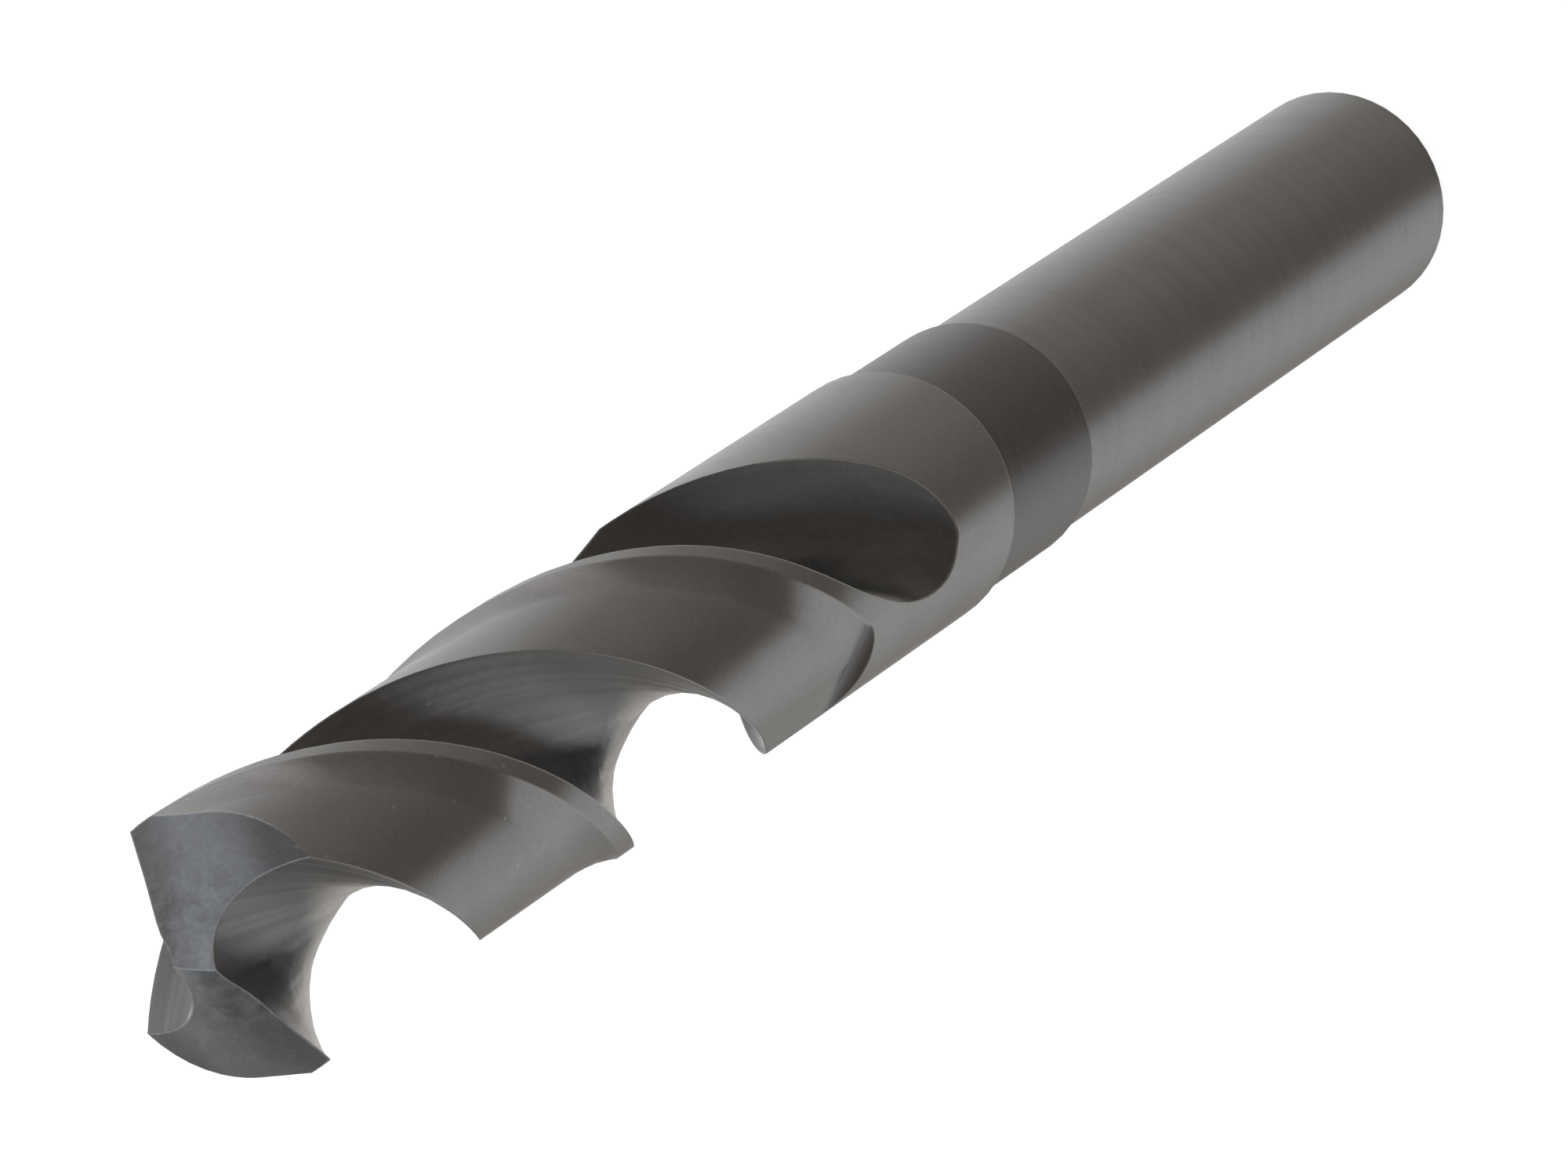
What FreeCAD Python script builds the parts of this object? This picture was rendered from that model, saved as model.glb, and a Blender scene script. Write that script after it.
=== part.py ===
import FreeCAD, Part
import math
import os

# Reduced-shank twist drill bit, right-hand, two flutes, standing on its shank.
# The origin is the centre of the shank's end, +Z runs along the axis to the point.
# Lengths are in millimetres, angles in degrees. A depth is measured from the point.

# Overall sizes
overall_length = 152.4
cut_dia = 14.0
shank_dia = 12.7
neck_dia = 13.3
body_length = 84.4
neck_length = 11.85
end_chamfer = 1.2
rim_chamfer = 0.25

# Flutes: section square to the axis, lead of the helix, web and run-out
flute_length = 76.2
flute_lead = 70.5
lip_offset = 1.07
core_x = 3.00
core_y = 3.72
core_radius = 3.765
heel_radius = 8.2
web_taper = 0.0161
taper_dir = 85.6
run_out = 16.7
run_out_dir = 77.0

# Lands: margin beside each leading edge and ground clearance behind it
margin_width = 1.26
clearance_depth = 0.571
clearance_length = 65.9
wheel_corner = 2.4

# Point: two conical flanks
point_angle = 118.0
apex_shift = 1.85
flank_tilt = 2.4

# The helical cutters start this far ahead of the point, and the land cutter winds on
# this far past the heel.
lead_in = 3.0
past_heel = 1.5

R = cut_dia / 2
half_point = math.radians(point_angle / 2)
lip_reach = math.sqrt(R**2 - lip_offset**2)
turn = 2 * math.pi / flute_lead
UP = FreeCAD.Vector(0, 0, 1)


def polar(radius, angle):
    return FreeCAD.Vector(radius * math.cos(angle), radius * math.sin(angle), 0)


def curve(points):
    spline = Part.BSplineCurve()
    spline.interpolate(points)
    return spline.toShape()


def polyline(points):
    return [Part.LineSegment(a, b).toShape() for a, b in zip(points, points[1:])]


def cone_drop(x, y):
    """Depth of the tilted flank cone below its apex, at x, y from the apex."""
    axis = FreeCAD.Rotation(lip_line, flank_tilt).multVec(FreeCAD.Vector(0, 0, -1))
    c2 = math.cos(half_point)**2
    side = axis.x * x + axis.y * y
    a = axis.z**2 - c2
    b = 2 * axis.z * side
    c = side**2 - c2 * (x**2 + y**2)
    return (b + math.sqrt(b**2 - 4 * a * c)) / (2 * a)


# The lips run parallel to X, offset to either side of the axis. Each is a straight
# line of its cone, and the cone's apex is the same offset away and past the axis.
lip_line = FreeCAD.Vector(math.sin(half_point), 0, -math.cos(half_point))
apex_height = cone_drop(apex_shift, -lip_offset)
corner_depth = (apex_shift + lip_reach) / math.tan(half_point) - apex_height


def lead_angle(depth):
    """Direction of the first leading edge at a depth behind the point."""
    return math.asin(lip_offset / R) - turn * (depth - corner_depth)


# Blank: shank with its end chamfer, neck and body, each with a small rear chamfer.
def blank():
    rs = shank_dia / 2
    rn = neck_dia / 2
    z_body = overall_length - body_length
    z_neck = z_body - neck_length
    outline = [
        (0, 0),
        (rs - end_chamfer, 0),
        (rs, end_chamfer),
        (rs, z_neck),
        (rn - rim_chamfer, z_neck),
        (rn, z_neck + rim_chamfer),
        (rn, z_body),
        (R - rim_chamfer, z_body),
        (R, z_body + rim_chamfer),
        (R, overall_length + 1),
        (0, overall_length + 1),
        (0, 0),
    ]
    points = [FreeCAD.Vector(r, 0, z) for r, z in outline]
    face = Part.Face(Part.Wire(polyline(points)))
    return face.revolve(FreeCAD.Vector(), UP, 360)


# Flute section. X points at the leading edge and the flute opens into the first
# quadrant. The rake side is the curve that makes the ground lip a straight line.
def rake_point(radius):
    reach = math.sqrt(radius**2 - lip_offset**2)
    angle = math.asin(lip_offset / R) - math.asin(lip_offset / radius)
    angle += turn * (lip_reach - reach) / math.tan(half_point)
    return polar(radius, -angle)


def flute_section():
    outer = R * 1.28
    inner = R * 0.33
    points = [rake_point(outer + (inner - outer) * i / 4) for i in range(5)]
    centre = FreeCAD.Vector(core_x, core_y, 0)
    start = math.atan2(points[-1].y - core_y, points[-1].x - core_x)
    stop = -math.pi - 0.04
    for i in range(1, 7):
        points.append(centre + polar(core_radius, start + (stop - start) * i / 6))
    centre = centre + polar(core_radius - heel_radius, stop)
    sweep = R * 0.79 / heel_radius
    for i in range(1, 4):
        points.append(centre + polar(heel_radius, stop - sweep * i / 3))
    corner = FreeCAD.Vector(R * 1.7, R * 1.7, 0)
    return Part.Wire([curve(points)] + polyline([points[-1], corner, points[0]]))


# Where the flutes end the cutter lifts away from the axis along an arc. The arc's
# radius follows from the depth of the flute there and the length of the run-out.
run_out_start = flute_length - run_out
rise = web_taper * (run_out_start - corner_depth)
rise *= math.cos(math.radians(taper_dir) - math.atan2(core_y, core_x))
end_depth = R + core_radius - math.hypot(core_x, core_y) - rise
cutter_radius = (run_out**2 + end_depth**2) / (2 * end_depth)


def cutter_lift(depth):
    past = max(0, depth - run_out_start)
    return cutter_radius - math.sqrt(cutter_radius**2 - past**2)


def placed_flute(section, depth):
    """The section moved out for the thicker web, turned to its place on the helix."""
    shift = web_taper * max(0, min(depth, run_out_start) - corner_depth)
    away = polar(shift, math.radians(taper_dir))
    back = -math.asin(away.y / R)
    lift = polar(cutter_lift(depth), math.radians(run_out_dir))
    place = FreeCAD.Placement(away, FreeCAD.Rotation())
    place = FreeCAD.Placement(lift, FreeCAD.Rotation(UP, math.degrees(back))) * place
    spin = FreeCAD.Rotation(UP, math.degrees(lead_angle(depth)))
    level = FreeCAD.Vector(0, 0, overall_length - depth)
    wire = section.copy()
    wire.Placement = FreeCAD.Placement(level, spin) * place
    return wire


def flute_cutter():
    section = flute_section()
    count = round((run_out_start + lead_in) / 6)
    depths = [(run_out_start + lead_in) * i / count - lead_in for i in range(count + 1)]
    last = run_out_start + run_out * 1.06
    steps = 8
    depths += [run_out_start + (last - run_out_start) * i / steps for i in range(1, steps + 1)]
    return Part.makeLoft([placed_flute(section, d) for d in depths], True)


# Body clearance. A flat wheel grinds each land down behind its margin, winding back
# with the flutes. The land's outside is a cylinder from the flat round to the heel.
# The flat lies a hair below that cylinder, so that the two meet in a clean edge.
bottom = R - clearance_depth
flat = bottom - 0.004
behind = margin_width / R + math.acos(bottom / R)
stand_depth = clearance_length - math.sqrt(2 * wheel_corner * clearance_depth - clearance_depth**2)
stand = lead_angle(stand_depth) - behind


def land_section():
    points = [
        polar(flat, 0) + polar(R, math.pi / 2),
        polar(flat, 0),
        polar(R * 0.4, 0),
        polar(R * 0.4, -past_heel),
        polar(R * 2, -past_heel),
        polar(R * 2.6, -past_heel / 2),
    ]
    return Part.Wire(polyline(points + points[:1]))


def placed_land(section, depth):
    wire = section.copy()
    spin = FreeCAD.Rotation(UP, math.degrees(lead_angle(depth) - behind))
    wire.Placement = FreeCAD.Placement(FreeCAD.Vector(0, 0, overall_length - depth), spin)
    return wire


# All that is outside the cylinder and behind the margin, down to the wheel's last stand.
def land_cutter():
    section = land_section()
    count = round((stand_depth + lead_in) / 5)
    depths = [(stand_depth + lead_in) * i / count - lead_in for i in range(count + 1)]
    ring = Part.makeLoft([placed_land(section, d) for d in depths], True)
    core = Part.makeCylinder(bottom, overall_length * 2, FreeCAD.Vector(0, 0, -overall_length / 2))
    width = R * 3
    low = overall_length - stand_depth - R
    height = R + past_heel / turn
    beyond = Part.makeBox(width, width, height, FreeCAD.Vector(0, -width, low))
    beyond.rotate(FreeCAD.Vector(), UP, math.degrees(stand - 0.02))
    return ring.cut([core, beyond])


# The wheel's last stand: a flat square to one direction, with a rounded end.
def stand_cutter():
    low = overall_length - stand_depth
    high = low + past_heel / turn
    outer = R * 1.5
    swing = math.acos(1 - (R * 1.05 - flat) / wheel_corner)
    centre = FreeCAD.Vector(flat + wheel_corner, 0, low)

    def corner(angle):
        return centre - FreeCAD.Vector(math.cos(angle), 0, math.sin(angle)) * wheel_corner

    arc = Part.Arc(corner(0), corner(swing / 2), corner(swing)).toShape()
    tip = corner(swing)
    rest = [
        tip,
        FreeCAD.Vector(outer, 0, tip.z),
        FreeCAD.Vector(outer, 0, high),
        FreeCAD.Vector(flat, 0, high),
        corner(0),
    ]
    face = Part.Face(Part.Wire([arc] + polyline(rest)))
    face.translate(FreeCAD.Vector(0, -R * 1.2, 0))
    solid = face.extrude(FreeCAD.Vector(0, R * 2.4, 0))
    solid.rotate(FreeCAD.Vector(), UP, math.degrees(stand))
    return solid


# Flank cone, opening backwards, with its apex past the axis from its own lip. It is
# tilted about the lip's line, which gives the flank its relief behind the lip.
def flank_cone():
    height = R * 4
    apex = FreeCAD.Vector(-apex_shift, lip_offset, overall_length + apex_height)
    down = FreeCAD.Vector(0, 0, -1)
    cone = Part.makeCone(0, height * math.tan(half_point), height, apex, down)
    cone.rotate(apex, lip_line, flank_tilt)
    return cone


tools = []
for tool in (flute_cutter(), land_cutter(), stand_cutter()):
    other = tool.copy()
    other.rotate(FreeCAD.Vector(), UP, 180)
    tools += [tool, other]

bit = blank().cut(tools)

# At the point, all that is outside either cone is ground away.
cone = flank_cone()
other = cone.copy()
other.rotate(FreeCAD.Vector(), UP, 180)
cap_height = R * 2.2
cap = Part.makeCylinder(R * 1.5, cap_height, FreeCAD.Vector(0, 0, overall_length - R))
bit = bit.cut([cap.cut(cone), cap.cut(other)])

solid = bit.Solids[0]
print("solids", len(bit.Solids), "valid", solid.isValid(), "volume", round(solid.Volume, 1))
print("lip corner depth", round(corner_depth, 3))

os.makedirs("parts", exist_ok=True)
solid.exportStep("parts/drill_bit.step")
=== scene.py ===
import math
from types import SimpleNamespace

import bpy
from mathutils import Matrix, Vector


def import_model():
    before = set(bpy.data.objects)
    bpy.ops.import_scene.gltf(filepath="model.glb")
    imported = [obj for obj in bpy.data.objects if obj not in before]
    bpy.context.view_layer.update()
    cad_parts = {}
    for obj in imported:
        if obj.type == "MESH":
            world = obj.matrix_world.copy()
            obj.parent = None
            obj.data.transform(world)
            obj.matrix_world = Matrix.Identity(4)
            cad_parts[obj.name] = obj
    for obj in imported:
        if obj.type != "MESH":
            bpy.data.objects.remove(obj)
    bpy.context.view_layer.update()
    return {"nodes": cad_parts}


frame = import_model()
drill = frame["nodes"]["drill_bit"]

# The drill stands on its shank, with its axis on Z and its point up. The CAD node keeps
# its shape, and all that is made here is its material, the stage, the light and the camera.
# Lengths are in metres. A border is a pair of numbers: what it is named after fades in from
# the first to the second, which may be the smaller one.

# Stations along the axis: the ends of the neck, the arc in which the clearance behind the
# margins ends, and a place just below the point's flanks
NECK_LO = 0.05615
NECK_HI = 0.0680
CLEAR_END = 0.0866
ARC_START = 0.08805
POINT_LO = 0.1474

# The flutes' lead, and how far each lip is from the axis
LEAD = 0.0705
LIP = 0.00107

# Borders along the axis
NECK_Z = (NECK_LO - 1e-5, NECK_LO + 1e-5)
NECK_END_Z = (NECK_HI + 1e-5, NECK_HI - 1e-5)
BODY_Z = (NECK_HI - 1e-5, NECK_HI + 1e-5)
POINT_Z = (POINT_LO, POINT_LO + 1e-4)
FULL_Z = (CLEAR_END + 4e-4, CLEAR_END + 2e-4)
CLEARED_Z = (CLEAR_END - 2e-4, CLEAR_END)
MARGIN_Z = (CLEAR_END, CLEAR_END + 3e-4)
ARC_Z = (CLEAR_END - 4e-4, CLEAR_END)
ARC_START_Z = (ARC_START + 9e-4, ARC_START - 2e-4)
WOUND_Z = (0.087, 0.099)
TIP_Z = (0.134, 0.145)
TIP_WALL_Z = (0.132, 0.147)
SPECK_Z = (0.112, 0.126)

# Borders by radius, and by how much a surface faces up or outwards
FULL_R = (0.00690, 0.00694)
MARGIN_R = (0.00691, 0.00695)
CLEARED_R = (0.00628, 0.00634)
ARC_R = (0.00698, 0.00692)
CLEARED_OUTWARD = (0.72, 0.84)
POINT_UPWARD = (0.62, 0.72)
WALL_UPWARD = (0.42, 0.28)
STEEP_UPWARD = (0.36, 0.24)

# Noises: scale, detail, roughness, and distortion if any. The rings' noise is stretched
# across the axis, and that of the streaks along it. A noise mostly keeps within a spread
# to either side of its middle, and is used over that range.
NOISE_MIDDLE = 0.5
NOISE_SPREAD = 0.2
NARROW_SPREAD = 0.15
MOTTLE_SPREAD = 0.14
RING_STRETCH = 0.05
RING_FINE = (5200.0, 3.0, 0.6)
RING_WIDE = (900.0, 3.0, 0.6)
STREAK_STRETCH = 0.012
STREAK_FINE = (2200.0, 2.0, 0.5)
STREAK_WIDE = (900.0, 3.0, 0.6)
CLOUD = (260.0, 5.0, 0.6, 0.4)
CLOUD_WIDE = (70.0, 3.0, 0.55, 0.3)
MOTTLE = (1200.0, 5.0, 0.7, 0.3)
GRAIN = (3800.0, 2.0, 0.6)

# Colours. Where there are two, a noise mixes them.
SHANK = ((0.180, 0.170, 0.162, 1), (0.205, 0.195, 0.187, 1))
NECK = ((0.086, 0.078, 0.073, 1), (0.104, 0.096, 0.091, 1))
LAND = ((0.180, 0.168, 0.158, 1), (0.212, 0.202, 0.193, 1))
FLUTE = ((0.086, 0.081, 0.077, 1), (0.116, 0.111, 0.106, 1))
POINT = ((0.084, 0.082, 0.081, 1), (0.206, 0.211, 0.217, 1))
MARGIN = (0.200, 0.190, 0.180, 1)
# Painted shade, near black, on the arc where the clearance ends
ARC_PAINTED_SHADE = (0.038, 0.031, 0.027, 1)
ARC_SHADE_SHARE = 0.95
GRAIN_SHADE = (0.93, 1.07)

# Flutes: painted shade, darker from SHADE_TOP down to the clearance's end and below it;
# lighter on the steep walls at the tip; and a painted sheen at a grazing angle, which Layer
# Weight gives as facing near 1
SHADE_TOP = 0.105
SHADE = 0.80
TIP_WALL_LIGHTER = 0.30
TIP_STREAK = 0.5
PAINTED_SHEEN = (0.90, 0.86, 0.82, 1)
SHEEN_FACING = (0.70, 0.94)
SHEEN_SHARE = 0.85

# Flanks of the point, by how far a place is behind its lip, and by radius: a pale band
# with a wavy border, a pale web, and the wheel's marks, which are patchy near the web,
# even further out and weak at the heel
BAND_START = (0.0004, 0.0028)
BAND_END = (0.0062, 0.0038)
BAND_WAVE = 0.0008
BAND_PALE = 0.46
WEB_START = (0.0004, 0.0020)
WEB_R = (0.0026, 0.0008)
WEB_PALE = 0.30
PATCHY_R = (0.0052, 0.0026)
PATCHY_PALE = (-0.02, 0.46)
EVEN_PALE = (0.15, 0.30)
HEEL_START = (0.0044, 0.0062)
HEEL_MARKS = 0.4

# Painted highlight on the edges, brighter at the point: there the cosine between the bevelled
# normal and the true one falls below 1. The shares are for all else and for the point.
EDGE_HIGHLIGHT = (0.42, 0.43, 0.44, 1)
EDGE_SAMPLES = 6
EDGE_RADIUS = 0.00016
EDGE_COSINE = (0.985, 0.90)
EDGE_HIGHLIGHT_SHARE = (0.30, 0.70)

# Dust specks and dings: the cells' scale, what share of the cells stays empty, a speck's
# border in its cell, and the shares for all else and for the lands
SPECK = (0.40, 0.39, 0.38, 1)
SPECK_SCALE = 900.0
SPECK_EMPTY = 0.74
SPECK_DISTANCE = (0.13, 0.06)
SPECK_SHARE = (0.15, 0.50)

# Roughness. Where there are two, a noise goes between them.
SHANK_ROUGH = (0.20, 0.28)
NECK_ROUGH = (0.25, 0.32)
LAND_ROUGH = (0.17, 0.25)
FLUTE_ROUGH = (0.21, 0.35)
POINT_ROUGH = (0.30, 0.44)
TIP_ROUGHER = 0.11
RUN_OUT_ROUGH = 0.36

# Bump: how deep each zone's fine marks, the clouds and the specks are, and the strength
# and distance of the fine and the wide layer
SHANK_DEPTH = 0.6
NECK_DEPTH = 0.25
LAND_DEPTH = 0.35
FLUTE_DEPTH = 0.30
RUN_OUT_DEPTH = 0.02
TIP_DEPTH = 0.18
CLOUD_DEPTH = 0.3
SPECK_DEPTH = 0.4
FINE_BUMP = (0.22, 0.00001)
WIDE_BUMP = (0.25, 0.00004)

METALLIC = 1.0
FLUTE_METALLIC = 0.84
ANISOTROPY = 0.35


class Tree:
    """Short names for making and joining shader nodes. What is computed comes back as an
    output, which the next call takes where it could take a number or a colour."""

    def __init__(self, tree):
        self.t = tree

    def node(self, kind, props=None):
        n = self.t.nodes.new(kind)
        for k, v in (props or {}).items():
            setattr(n, k, v)
        return n

    def put(self, socket, v):
        if isinstance(v, bpy.types.NodeSocket):
            self.t.links.new(v, socket)
        else:
            socket.default_value = v

    def fill(self, n, values, output=0):
        """Put values into the node's first inputs, and return one of its outputs."""
        for s, v in zip(n.inputs, values):
            self.put(s, v)
        return n.outputs[output]

    def math(self, op, a, b=0.0):
        return self.fill(self.node("ShaderNodeMath", {"operation": op}), (a, b))

    def add(self, a, b):
        return self.math("ADD", a, b)

    def sub(self, a, b):
        return self.math("SUBTRACT", a, b)

    def mul(self, first, *factors):
        for v in factors:
            first = self.math("MULTIPLY", first, v)
        return first

    def vec(self, op, a, b=(0, 0, 0)):
        n = self.node("ShaderNodeVectorMath", {"operation": op})
        output = "Value" if op in ("DOT_PRODUCT", "LENGTH") else "Vector"
        return self.fill(n, (a, b), output)

    def xyz(self, v):
        n = self.node("ShaderNodeSeparateXYZ")
        self.put(n.inputs[0], v)
        return n.outputs

    def join(self, x, y, z):
        return self.fill(self.node("ShaderNodeCombineXYZ"), (x, y, z))

    def step(self, v, start, end):
        """Smooth 0 to 1 from start to end, whichever of the two is the larger."""
        n = self.node("ShaderNodeMapRange", {"interpolation_type": "SMOOTHSTEP"})
        if start < end:
            return self.fill(n, (v, start, end, 0.0, 1.0))
        return self.fill(n, (v, end, start, 1.0, 0.0))

    def remap(self, v, lo, hi, a, b):
        return self.fill(self.node("ShaderNodeMapRange"), (v, lo, hi, a, b))

    def swing(self, noise, a, b, spread=NOISE_SPREAD):
        """From a to b, as a noise goes through its middle range."""
        return self.remap(noise, NOISE_MIDDLE - spread, NOISE_MIDDLE + spread, a, b)

    # A Mix node has an A, a B and a Result of every type, so these go by their index.
    def mix(self, f, a, b, blend="MIX"):
        n = self.node("ShaderNodeMix", {"data_type": "RGBA", "blend_type": blend})
        self.put(n.inputs["Factor"], f)
        self.put(n.inputs[6], a)
        self.put(n.inputs[7], b)
        return n.outputs[2]

    def scale(self, colour, by):
        return self.mix(1.0, colour, self.join(by, by, by), "MULTIPLY")

    def lerp(self, f, a, b):
        n = self.node("ShaderNodeMix", {"data_type": "FLOAT"})
        self.put(n.inputs["Factor"], f)
        self.put(n.inputs[2], a)
        self.put(n.inputs[3], b)
        return n.outputs[0]

    def noise(self, v, scale, detail, rough, distort=0.0):
        n = self.node("ShaderNodeTexNoise")
        self.put(n.inputs["Vector"], v)
        n.inputs["Scale"].default_value = scale
        n.inputs["Detail"].default_value = detail
        n.inputs["Roughness"].default_value = rough
        n.inputs["Distortion"].default_value = distort
        return n.outputs["Fac"]

    def bump(self, height, normal, strength, distance):
        n = self.node("ShaderNodeBump")
        n.inputs["Strength"].default_value = strength
        n.inputs["Distance"].default_value = distance
        self.put(n.inputs["Height"], height)
        self.put(n.inputs["Normal"], normal)
        return n.outputs[0]


def new_material(name):
    mat = bpy.data.materials.new(name)
    mat.use_nodes = True
    mat.node_tree.nodes.clear()
    return mat, Tree(mat.node_tree)


# Ground steel. Every zone of the drill has its own finish, told apart by its place and by
# where it faces: shank, darker neck, ground lands and margins, flutes and point.
def find_place(T):
    """Place and direction of the surface: r is its radius, out how much it faces outwards."""
    tex = T.node("ShaderNodeTexCoord")
    P = tex.outputs["Object"]
    N = tex.outputs["Normal"]
    x, y, z = T.xyz(P)
    across = T.join(x, y, 0.0)
    r = T.vec("LENGTH", across)
    out = T.vec("DOT_PRODUCT", N, T.vec("NORMALIZE", across))
    nx, _, nz = T.xyz(N)
    return SimpleNamespace(P=P, x=x, y=y, z=z, r=r, out=out, nx=nx, nz=nz)


def find_zones(T, at):
    """How far a place belongs to each zone, from 0 to 1."""
    z, r = at.z, at.r
    neck = T.mul(T.step(z, *NECK_Z), T.step(z, *NECK_END_Z))
    body = T.step(z, *BODY_Z)
    point = T.mul(T.step(z, *POINT_Z), T.step(at.nz, *POINT_UPWARD))
    # Below the clearance's end, only the full diameter is land. Above it, so is what faces
    # outwards at the radius to which the wheel has ground.
    full = T.mul(T.step(z, *FULL_Z), T.step(r, *FULL_R))
    cleared = T.mul(
        T.step(z, *CLEARED_Z), T.step(r, *CLEARED_R), T.step(at.out, *CLEARED_OUTWARD)
    )
    land = T.mul(T.math("MAXIMUM", full, cleared), T.sub(1.0, point))
    flute = T.mul(body, T.sub(1.0, T.math("MAXIMUM", land, point)))
    margin = T.mul(T.step(r, *MARGIN_R), T.step(z, *MARGIN_Z), land)
    # The arc where the clearance ends, which gets painted shade
    arc_shade = T.mul(T.step(z, *ARC_Z), T.step(z, *ARC_START_Z), T.step(r, *ARC_R), land)
    return SimpleNamespace(
        neck=neck, land=land, flute=flute, point=point, margin=margin, arc_shade=arc_shade
    )


def make_marks(T, at):
    """Marks of the grinding: rings, streaks that wind with the flutes, clouds and grain."""
    rings = T.join(T.mul(at.x, RING_STRETCH), T.mul(at.y, RING_STRETCH), at.z)
    wind = T.node("ShaderNodeVectorRotate", {"rotation_type": "Z_AXIS"})
    T.put(wind.inputs["Vector"], at.P)
    T.put(wind.inputs["Angle"], T.mul(at.z, -2 * math.pi / LEAD))
    wx, wy, _ = T.xyz(wind.outputs[0])
    helix = T.join(wx, wy, T.mul(at.z, STREAK_STRETCH))
    return SimpleNamespace(
        ring_fine=T.noise(rings, *RING_FINE),
        ring_wide=T.noise(rings, *RING_WIDE),
        streak_fine=T.noise(helix, *STREAK_FINE),
        streak_wide=T.noise(helix, *STREAK_WIDE),
        cloud=T.noise(at.P, *CLOUD),
        cloud_wide=T.noise(at.P, *CLOUD_WIDE),
        mottle=T.noise(at.P, *MOTTLE),
        grain=T.noise(at.P, *GRAIN),
        # The fine streaks begin above the run-out, and are calmer at the tip.
        wound=T.step(at.z, *WOUND_Z),
        tip=T.step(at.z, *TIP_Z),
    )


def make_specks(T, at):
    cells = T.node("ShaderNodeTexVoronoi", {"feature": "F1"})
    T.put(cells.inputs["Vector"], at.P)
    cells.inputs["Scale"].default_value = SPECK_SCALE
    chosen = T.math("GREATER_THAN", T.xyz(cells.outputs["Color"])[0], SPECK_EMPTY)
    dot = T.step(cells.outputs["Distance"], *SPECK_DISTANCE)
    return T.mul(dot, T.mul(chosen, T.step(at.z, *SPECK_Z)))


def flute_colour(T, at, marks):
    streak = T.lerp(marks.tip, T.swing(marks.streak_wide, 0.0, 1.0), TIP_STREAK)
    # Lighter on the steep walls at the tip
    tip_walls_lighter = T.mul(T.step(at.z, *TIP_WALL_Z), T.step(at.nz, *WALL_UPWARD), TIP_WALL_LIGHTER)
    # Painted shade, darker from SHADE_TOP down to the clearance's end and below it
    shade = T.add(T.remap(at.z, CLEAR_END, SHADE_TOP, SHADE, 1.0), tip_walls_lighter)
    # A painted sheen on the steep flute walls at a grazing angle
    facing = T.node("ShaderNodeLayerWeight").outputs["Facing"]
    painted_sheen = T.step(facing, *SHEEN_FACING)
    painted_sheen = T.mul(painted_sheen, T.step(at.nz, *STEEP_UPWARD), SHEEN_SHARE)
    return T.mix(painted_sheen, T.scale(T.mix(streak, *FLUTE), shade), PAINTED_SHEEN)


def point_colour(T, at, marks):
    behind = T.sub(LIP, T.mul(T.math("SIGN", at.nx), at.y))
    behind = T.add(behind, T.swing(marks.cloud_wide, -BAND_WAVE, BAND_WAVE))
    band = T.mul(T.step(behind, *BAND_START), T.step(behind, *BAND_END), BAND_PALE)
    even = T.swing(marks.mottle, *EVEN_PALE, MOTTLE_SPREAD)
    patchy = T.swing(marks.mottle, *PATCHY_PALE, MOTTLE_SPREAD)
    spots = T.lerp(T.step(at.r, *PATCHY_R), even, patchy)
    spots = T.mul(spots, T.lerp(T.step(behind, *HEEL_START), 1.0, HEEL_MARKS))
    web = T.mul(T.step(at.r, *WEB_R), T.step(behind, *WEB_START), WEB_PALE)
    return T.mix(T.add(T.add(band, spots), web), *POINT)


def base_colour(T, at, zone, marks, edge_highlight, specks):
    col = T.mix(T.swing(marks.ring_wide, 0.0, 1.0), *SHANK)
    col = T.mix(zone.neck, col, T.mix(T.swing(marks.ring_fine, 0.0, 1.0), *NECK))
    cloudy = T.swing(marks.cloud_wide, 0.0, 1.0, NARROW_SPREAD)
    col = T.mix(zone.land, col, T.mix(cloudy, *LAND))
    col = T.mix(zone.margin, col, MARGIN)
    col = T.mix(zone.flute, col, flute_colour(T, at, marks))
    col = T.mix(zone.point, col, point_colour(T, at, marks))
    # Painted shade on the arc where the clearance ends
    col = T.mix(T.mul(zone.arc_shade, ARC_SHADE_SHARE), col, ARC_PAINTED_SHADE)
    # Painted highlight on the edges, stronger at the point
    col = T.mix(T.mul(edge_highlight, T.lerp(zone.point, *EDGE_HIGHLIGHT_SHARE)), col, EDGE_HIGHLIGHT)
    col = T.mix(T.mul(specks, T.lerp(zone.land, *SPECK_SHARE)), col, SPECK)
    return T.scale(col, T.swing(marks.grain, *GRAIN_SHADE))


def roughness(T, zone, marks):
    shank = T.swing(marks.ring_fine, *SHANK_ROUGH)
    neck = T.swing(marks.ring_fine, *NECK_ROUGH)
    streaks = T.swing(marks.streak_fine, *FLUTE_ROUGH, NARROW_SPREAD)
    streaks = T.add(streaks, T.mul(marks.tip, TIP_ROUGHER))
    rough = T.lerp(zone.neck, shank, neck)
    rough = T.lerp(zone.land, rough, T.swing(marks.cloud, *LAND_ROUGH))
    rough = T.lerp(zone.flute, rough, T.lerp(marks.wound, RUN_OUT_ROUGH, streaks))
    return T.lerp(zone.point, rough, T.swing(marks.cloud, *POINT_ROUGH))


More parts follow.
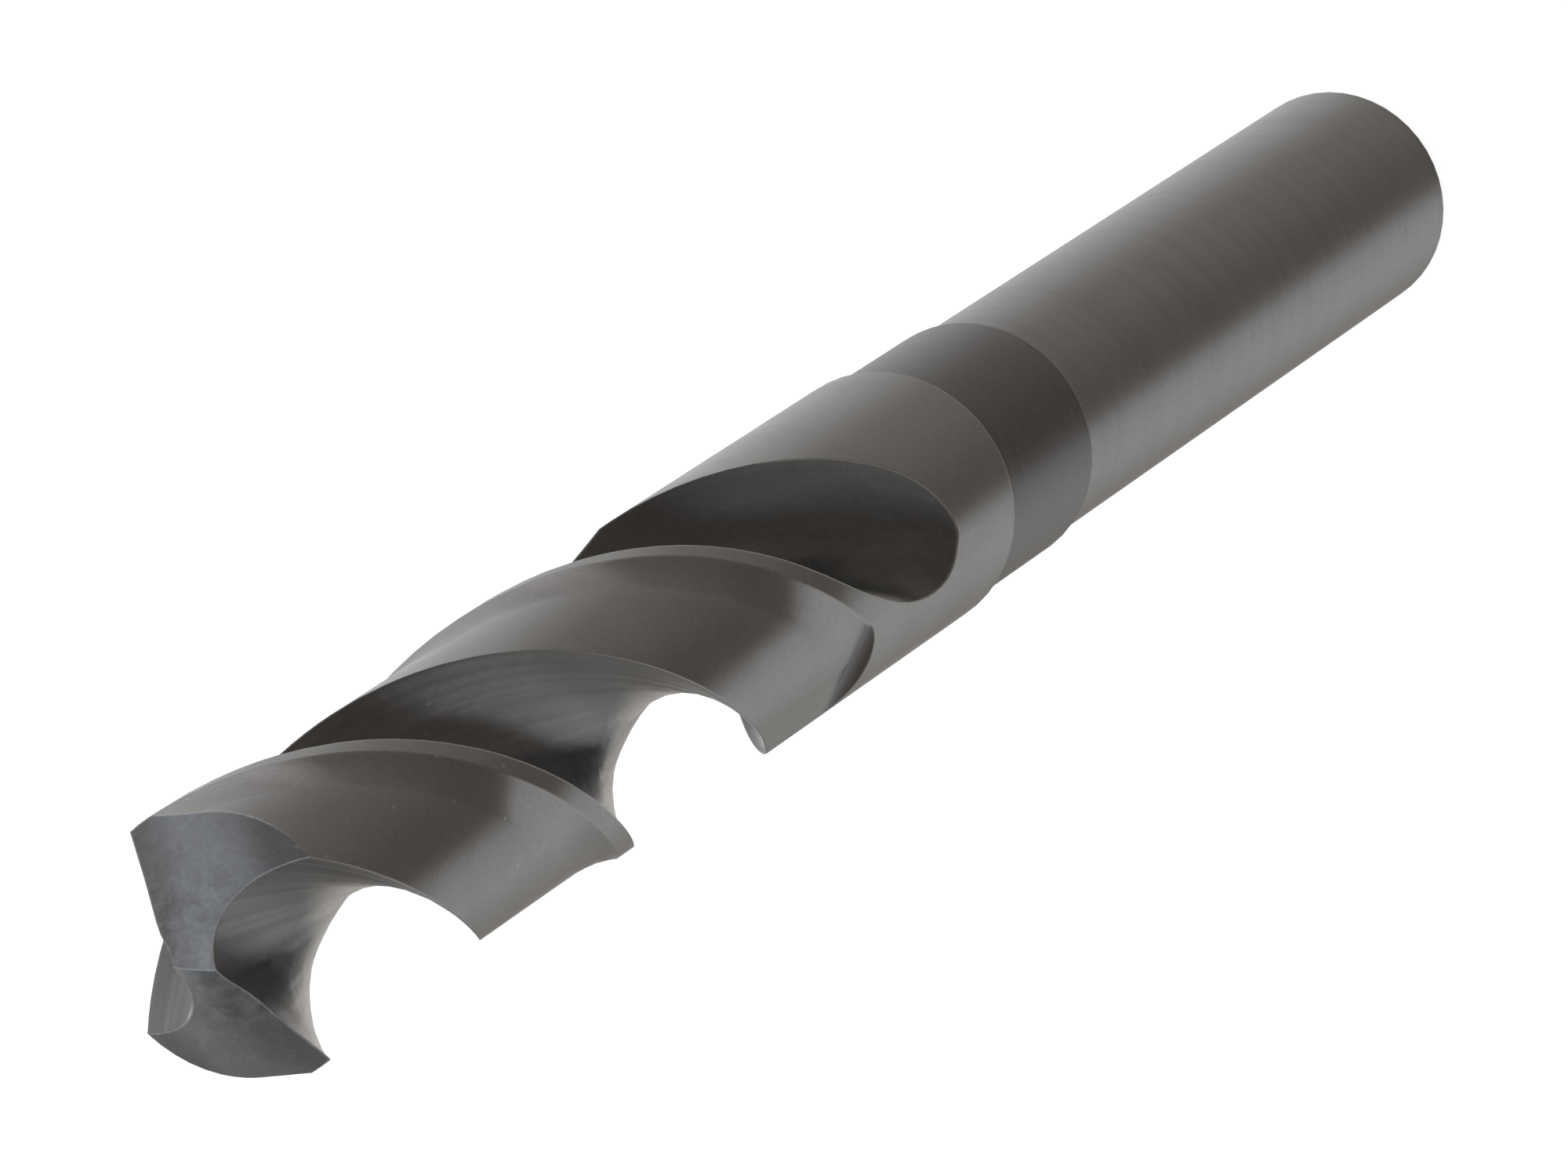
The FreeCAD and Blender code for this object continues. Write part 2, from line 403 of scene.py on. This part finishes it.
def relief(T, zone, marks, specks, normal):
    """A layer of fine grinding marks, and one of slight unevenness and dings."""
    lines = T.mul(marks.ring_fine, T.lerp(zone.neck, SHANK_DEPTH, NECK_DEPTH))
    lines = T.lerp(zone.land, lines, T.mul(marks.grain, LAND_DEPTH))
    depth = T.lerp(marks.tip, T.lerp(marks.wound, RUN_OUT_DEPTH, FLUTE_DEPTH), TIP_DEPTH)
    lines = T.lerp(zone.flute, lines, T.mul(marks.streak_fine, depth))
    lines = T.lerp(zone.point, lines, marks.grain)
    uneven = T.sub(T.mul(marks.cloud, CLOUD_DEPTH), T.mul(specks, SPECK_DEPTH))
    return T.bump(uneven, T.bump(lines, normal, *FINE_BUMP), *WIDE_BUMP)


def ground_steel():
    mat, T = new_material("ground_steel")
    at = find_place(T)
    zone = find_zones(T, at)
    marks = make_marks(T, at)
    specks = make_specks(T, at)

    bevel = T.node("ShaderNodeBevel", {"samples": EDGE_SAMPLES})
    bevel.inputs["Radius"].default_value = EDGE_RADIUS
    true_normal = T.node("ShaderNodeNewGeometry").outputs["Normal"]
    # The edges, which get a painted highlight
    edge_highlight = T.step(T.vec("DOT_PRODUCT", bevel.outputs[0], true_normal), *EDGE_COSINE)

    bsdf = T.node("ShaderNodeBsdfPrincipled")
    bsdf.inputs["Anisotropic"].default_value = ANISOTROPY
    T.put(bsdf.inputs["Metallic"], T.lerp(zone.flute, METALLIC, FLUTE_METALLIC))
    T.put(bsdf.inputs["Base Color"], base_colour(T, at, zone, marks, edge_highlight, specks))
    T.put(bsdf.inputs["Roughness"], roughness(T, zone, marks))
    T.put(bsdf.inputs["Normal"], relief(T, zone, marks, specks, bevel.outputs[0]))
    T.put(T.node("ShaderNodeOutputMaterial").inputs["Surface"], bsdf.outputs[0])
    return mat


drill.data.materials.clear()
drill.data.materials.append(ground_steel())


# Stage: a plain floor. For the light it is pale, and for the camera nearly white, with a
# soft shadow left on it.
FLOOR_HALF = 6.0
FLOOR_PALE = 0.86
FLOOR_SEEN = 0.30
FLOOR_GLOW = 0.88
WHITE = (1, 1, 1, 1)


def floor():
    s = FLOOR_HALF
    me = bpy.data.meshes.new("floor")
    me.from_pydata([(-s, -s, 0), (s, -s, 0), (s, s, 0), (-s, s, 0)], [], [(0, 1, 2, 3)])
    ob = bpy.data.objects.new("floor", me)
    bpy.context.scene.collection.objects.link(ob)

    mat, T = new_material("floor")
    seen = T.node("ShaderNodeLightPath").outputs["Is Camera Ray"]
    pale = T.lerp(seen, FLOOR_PALE, FLOOR_SEEN)
    surface = T.node("ShaderNodeBsdfDiffuse")
    T.put(surface.inputs["Color"], T.join(pale, pale, pale))
    glow = T.node("ShaderNodeEmission")
    glow.inputs["Color"].default_value = WHITE
    T.put(glow.inputs["Strength"], T.mul(seen, FLOOR_GLOW))
    both = T.fill(T.node("ShaderNodeAddShader"), (surface.outputs[0], glow.outputs[0]))
    T.put(T.node("ShaderNodeOutputMaterial").inputs["Surface"], both)
    me.materials.append(mat)
    # The metal mirrors the room below the floor's level too, as if it hung in a tent.
    ob.visible_glossy = False


floor()

# World: white for the camera, and for the object a soft room. First its walls all round,
# as direction in degrees, from the -Y side and positive towards +X, and colour.
ROOM = (
    (-180, (0.90, 0.90, 0.89)),
    (-170, (0.48, 0.47, 0.46)),
    (-158, (0.32, 0.30, 0.28)),
    (-148, (0.31, 0.29, 0.27)),
    (-125, (0.46, 0.46, 0.45)),
    (-92, (0.73, 0.75, 0.75)),
    (-60, (0.77, 0.79, 0.80)),
    (-39, (0.27, 0.25, 0.23)),
    (-15, (0.28, 0.26, 0.24)),
    (35, (0.43, 0.40, 0.37)),
    (70, (0.46, 0.44, 0.42)),
    (105, (0.66, 0.67, 0.67)),
    (160, (0.70, 0.71, 0.72)),
    (180, (0.90, 0.90, 0.89)),
)
# Two large soft boxes and the wall behind: two borders by direction, two by height, and
# colour. A height is the Z part of the direction in which the room is seen, from -1 to 1.
# The wall behind starts beyond -180 degrees, so it has no edge there.
BOXES = (
    ((40, 66), (150, 112), (-0.90, -0.56), (0.80, 0.25), (1.42, 1.45, 1.50, 1)),
    ((-112, -84), (-38, -57), (-0.93, -0.72), (0.05, -0.45), (1.01, 1.04, 1.07, 1)),
    ((-181, -180), (-136, -172), (-0.70, -0.10), (0.95, 0.50), (1.00, 1.02, 1.04, 1)),
)
# Higher up, the walls are turned by so many degrees, which takes the dark part further
# towards -X.
LEAN = 18.0
LEAN_HEIGHT = (-0.68, -0.30)
# The white ground straight below, which only the steep flute walls mirror
GROUND = (1.00, 1.01, 1.02, 1)
GROUND_HEIGHT = (-0.960, -0.985)
GROUND_SHARE = 0.60
CEILING = (0.84, 0.87, 0.91, 1)
CEILING_HEIGHT = (0.35, 0.85)


def walls(T, degrees):
    """The colour of ROOM in a direction. The ramp runs from 0 at -180 degrees to 1."""
    ramp = T.node("ShaderNodeValToRGB")
    elements = ramp.color_ramp.elements
    ramp.color_ramp.interpolation = "LINEAR"
    while len(elements) < len(ROOM):
        elements.new(0.5)
    for element, (direction, colour) in zip(elements, ROOM):
        element.position = (direction + 180) / 360
        element.color = (*colour, 1)
    T.put(ramp.inputs[0], T.add(T.mul(degrees, 1 / 360), 0.5))
    return ramp.outputs[0]


def room_colour(T):
    x, y, z = T.xyz(T.node("ShaderNodeTexCoord").outputs["Generated"])
    turn = T.math("ARCTAN2", x, T.mul(y, -1.0))
    degrees = T.mul(turn, 180 / math.pi)
    colour = walls(T, T.add(degrees, T.mul(T.step(z, *LEAN_HEIGHT), LEAN)))
    for rise, fall, low, high, box in BOXES:
        inside = T.mul(
            T.step(degrees, *rise), T.step(degrees, *fall), T.step(z, *low), T.step(z, *high)
        )
        colour = T.mix(inside, colour, box)
    colour = T.mix(T.mul(T.step(z, *GROUND_HEIGHT), GROUND_SHARE), colour, GROUND)
    return T.mix(T.step(z, *CEILING_HEIGHT), colour, CEILING)


def world():
    room = bpy.data.worlds.new("room")
    bpy.context.scene.world = room
    room.use_nodes = True
    room.node_tree.nodes.clear()
    T = Tree(room.node_tree)
    soft = T.node("ShaderNodeBackground")
    T.put(soft.inputs["Color"], room_colour(T))
    white = T.node("ShaderNodeBackground")
    white.inputs["Color"].default_value = WHITE
    for background in (soft, white):
        background.inputs["Strength"].default_value = 1.0
    seen = T.node("ShaderNodeLightPath").outputs["Is Camera Ray"]
    mix = T.fill(T.node("ShaderNodeMixShader"), (seen, soft.outputs[0], white.outputs[0]))
    T.put(T.node("ShaderNodeOutputWorld").inputs["Surface"], mix)


world()

# Two weak lamps above, which leave the soft shadow
LAMP_SIZE = 0.6
LAMP_TARGET = Vector((0, 0, 0.08))


def area_light(name, place, power):
    data = bpy.data.lights.new(name, "AREA")
    data.shape = "SQUARE"
    data.size = LAMP_SIZE
    data.energy = power
    ob = bpy.data.objects.new(name, data)
    bpy.context.scene.collection.objects.link(ob)
    ob.location = place
    ob.rotation_mode = "QUATERNION"
    ob.rotation_quaternion = (LAMP_TARGET - Vector(place)).to_track_quat("-Z", "Y")


area_light("key", (0.60, 0.10, 0.95), 0.35)
area_light("fill", (-0.75, 0.30, 0.70), 0.30)

# Camera, as it was fitted to the photograph, for a 2000 x 1500 picture: its axes and its
# place in the drill's frame
CAMERA_RIGHT = Vector((-0.557482, -0.734629, -0.386696))
CAMERA_UP = Vector((0.830188, -0.492757, -0.260726))
CAMERA_BACK = Vector((0.000989, -0.466380, 0.884584))
CAMERA_PLACE = Vector((0.0, -0.292081, 0.637287))
CAMERA_LENS = 283.0769
CAMERA_SENSOR = 36.0
CAMERA_RANGE = (0.05, 30.0)


def camera():
    data = bpy.data.cameras.new("camera")
    ob = bpy.data.objects.new("camera", data)
    bpy.context.scene.collection.objects.link(ob)
    pose = Matrix((CAMERA_RIGHT, CAMERA_UP, CAMERA_BACK)).transposed().to_4x4()
    pose.translation = CAMERA_PLACE
    ob.matrix_world = pose
    data.sensor_width = CAMERA_SENSOR
    data.lens = CAMERA_LENS
    data.clip_start, data.clip_end = CAMERA_RANGE
    bpy.context.scene.camera = ob


camera()
bpy.context.scene.view_settings.view_transform = "Standard"
